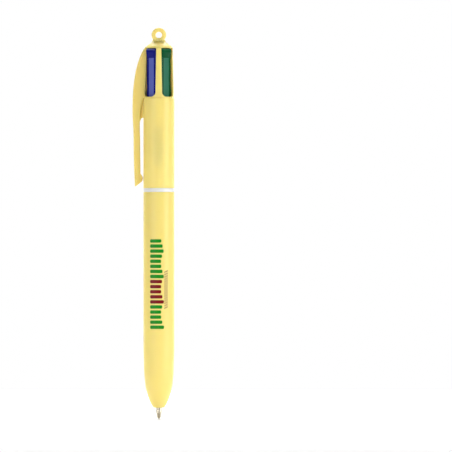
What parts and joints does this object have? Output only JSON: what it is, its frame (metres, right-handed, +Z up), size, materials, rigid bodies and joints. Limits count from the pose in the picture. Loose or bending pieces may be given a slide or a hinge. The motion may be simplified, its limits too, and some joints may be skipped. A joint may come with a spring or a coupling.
{
  "type": "multicolor click pen",
  "caption": "Multicolour click ballpoint pen: slider buttons push spring-loaded refills out through an ogive nose; springy clip, lanyard eyelet, unscrewing grip.",
  "frame": {"origin": "writing point of the black refill that is out, on the pen's axis, tip down", "axes": "+Z up the pen's axis from the tip to the eyelet, clip towards -X, the eyelet's hole along Y"},
  "size_m": [0.0162, 0.012, 0.1506],
  "materials": {
    "yellow_plastic": "satin moulded plastic",
    "white_plastic": "satin moulded plastic",
    "guide_plastic": "natural moulded plastic",
    "blue_plastic": "satin moulded plastic",
    "green_plastic": "satin moulded plastic",
    "red_plastic": "satin moulded plastic",
    "black_plastic": "satin moulded plastic",
    "clear_tube": "translucent extruded plastic",
    "blue_ink": "wet ink",
    "green_ink": "wet ink",
    "red_ink": "wet ink",
    "black_ink": "wet ink",
    "nickel": "turned and polished metal",
    "spring_steel": "bright drawn wire"
  },
  "bodies": {
    "upper_assembly": {"upper_barrel": "yellow_plastic", "end_cap": "yellow_plastic", "refill_guide": "guide_plastic"},
    "clip": {"clip_blade": "yellow_plastic"},
    "ring": {"joint_ring": "white_plastic"},
    "grip": {"lower_barrel": "yellow_plastic"},
    "blue_button": {"blue_slider": "blue_plastic", "blue_spring": "spring_steel"},
    "blue_refill": {"blue_ink_tube": "clear_tube", "blue_ink": "blue_ink", "blue_tip": "nickel", "blue_ball": "nickel"},
    "green_button": {"green_slider": "green_plastic", "green_spring": "spring_steel"},
    "green_refill": {"green_ink_tube": "clear_tube", "green_ink": "green_ink", "green_tip": "nickel", "green_ball": "nickel"},
    "red_button": {"red_slider": "red_plastic", "red_spring": "spring_steel"},
    "red_refill": {"red_ink_tube": "clear_tube", "red_ink": "red_ink", "red_tip": "nickel", "red_ball": "nickel"},
    "black_button": {"black_slider": "black_plastic", "black_spring": "spring_steel"},
    "black_refill": {"black_ink_tube": "clear_tube", "black_ink": "black_ink", "black_tip": "nickel", "black_ball": "nickel"}
  },
  "joints": [
    {"name": "clip_flex", "type": "hinge", "parent": "upper_assembly", "child": "clip", "pos_m": [-0.0086, 0, 0.1154], "axis": [0, 1, 0], "range_deg": [0, 5], "stiffness_Nm_per_rad": 0.9},
    {"name": "barrel_unscrew", "type": "hinge", "parent": "upper_assembly", "child": "ring", "pos_m": [0, 0, 0.0882], "axis": [0, 0, 1], "range_deg": [0, 1440]},
    {"name": "barrel_pull_off", "type": "slide", "parent": "ring", "child": "grip", "axis": [0, 0, -1], "range_m": [0, 0.115]},
    {"name": "blue_press", "type": "slide", "parent": "upper_assembly", "child": "blue_button", "axis": [0, 0, -1], "range_m": [0, 0.012], "stiffness_N_per_m": 80, "springref_m": -0.004, "deforming": ["blue_spring"]},
    {"name": "blue_refill_lean", "type": "hinge", "parent": "blue_button", "child": "blue_refill", "pos_m": [-0.00184, -0.00184, 0.1157], "axis": [0.7071, -0.7071, 0], "range_deg": [0, 1.44], "deforming": ["blue_ink_tube", "blue_ink", "blue_tip", "blue_ball"]},
    {"name": "green_press", "type": "slide", "parent": "upper_assembly", "child": "green_button", "axis": [0, 0, -1], "range_m": [0, 0.012], "stiffness_N_per_m": 80, "springref_m": -0.004, "deforming": ["green_spring"]},
    {"name": "green_refill_lean", "type": "hinge", "parent": "green_button", "child": "green_refill", "pos_m": [0.00184, -0.00184, 0.1157], "axis": [0.7071, 0.7071, 0], "range_deg": [0, 1.44], "deforming": ["green_ink_tube", "green_ink", "green_tip", "green_ball"]},
    {"name": "red_press", "type": "slide", "parent": "upper_assembly", "child": "red_button", "axis": [0, 0, -1], "range_m": [0, 0.012], "stiffness_N_per_m": 80, "springref_m": -0.004, "deforming": ["red_spring"]},
    {"name": "red_refill_lean", "type": "hinge", "parent": "red_button", "child": "red_refill", "pos_m": [-0.00184, 0.00184, 0.1157], "axis": [-0.7071, -0.7071, 0], "range_deg": [0, 1.44], "deforming": ["red_ink_tube", "red_ink", "red_tip", "red_ball"]},
    {"name": "black_press", "type": "slide", "parent": "upper_assembly", "child": "black_button", "axis": [0, 0, -1], "range_m": [-0.012, 0], "deforming": ["black_spring"]},
    {"name": "black_refill_lean", "type": "hinge", "parent": "black_button", "child": "black_refill", "pos_m": [0.00184, 0.00184, 0.1037], "axis": [-0.7071, 0.7071, 0], "range_deg": [-1.44, 0], "deforming": ["black_ink_tube", "black_ink", "black_tip", "black_ball"]}
  ],
  "couplings": [
    {"joint": "blue_refill_lean", "follows": "blue_press", "rad_per_m": 2.099},
    {"joint": "green_refill_lean", "follows": "green_press", "rad_per_m": 2.099},
    {"joint": "red_refill_lean", "follows": "red_press", "rad_per_m": 2.099},
    {"joint": "black_refill_lean", "follows": "black_press", "rad_per_m": 2.099}
  ]
}
